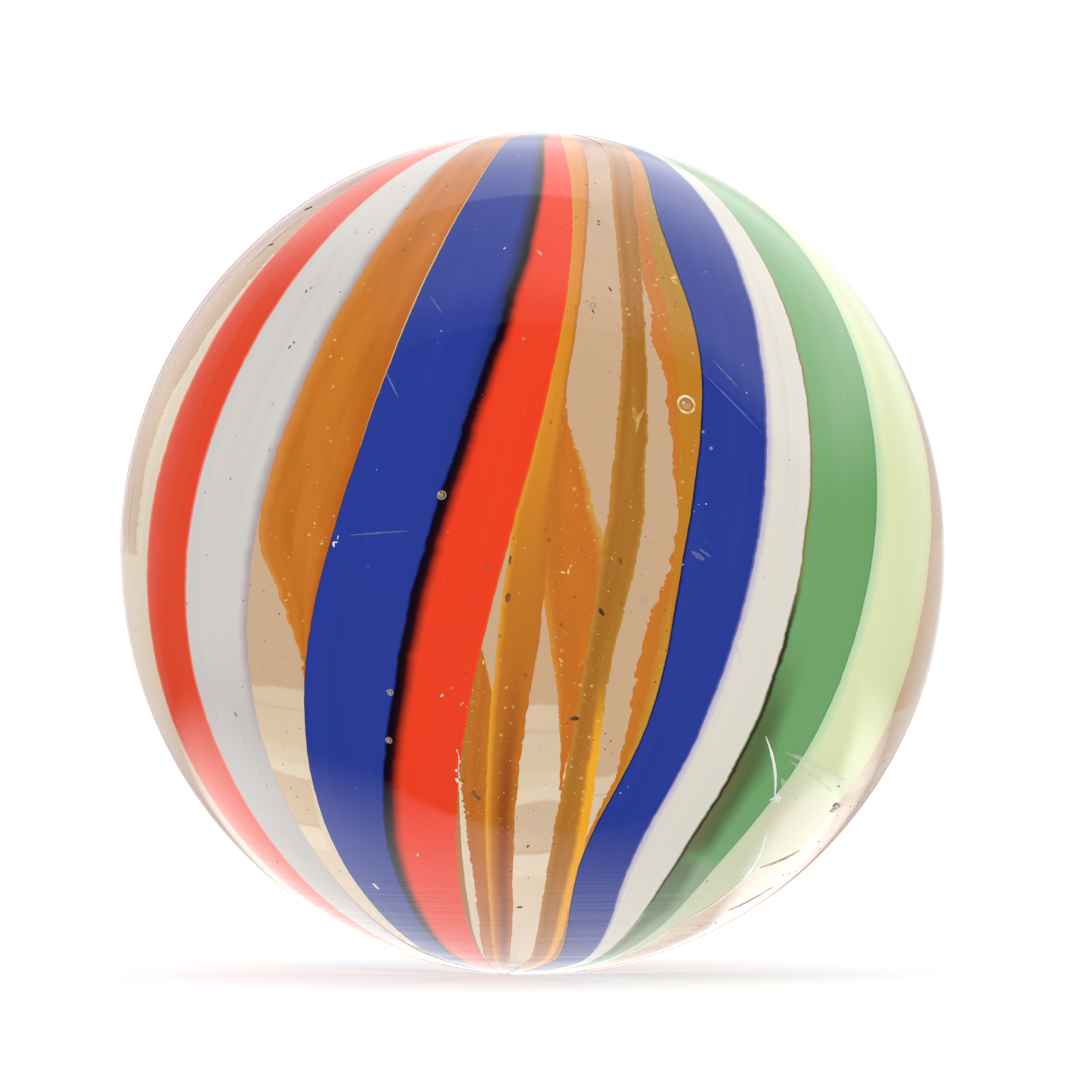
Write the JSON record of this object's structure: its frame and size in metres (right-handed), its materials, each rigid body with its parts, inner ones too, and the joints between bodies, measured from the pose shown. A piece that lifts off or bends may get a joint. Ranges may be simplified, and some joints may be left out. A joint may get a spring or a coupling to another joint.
{
  "type": "glass marble",
  "caption": "Round clear glass marble with opaque and amber ribbons of coloured glass swirled from pole to pole, flush with its surface.",
  "frame": {"origin": "centre of the marble", "axes": "+Z along the marble's length, from pole to pole; the widest section is the XY plane, and the swirl turns about an axis that leans a few degrees from +Z"},
  "size_m": [0.025, 0.025, 0.0254],
  "materials": {
    "clear_glass": "fire-polished clear glass with a faint warm tint, small bubbles and light wear",
    "red_glass": "opaque orange-red glass ribbon, flush with the skin",
    "white_glass": "opaque white glass ribbon with lavender edges, flush with the skin",
    "blue_glass": "opaque cobalt blue glass ribbon, flush with the skin",
    "green_glass": "opaque green glass ribbon, mottled with dark olive, flush with the skin",
    "pale_glass": "opaque pale yellow-green glass ribbon, flush with the skin",
    "dark_glass": "black and dark olive threads of glass between the ribbons",
    "cream_glass": "cream glass shreds between the strands",
    "amber_glass": "transparent amber, mustard and olive glass strands, streaked and seeded with bubbles"
  },
  "bodies": {
    "root": {"marble": "clear_glass"}
  },
  "joints": []
}
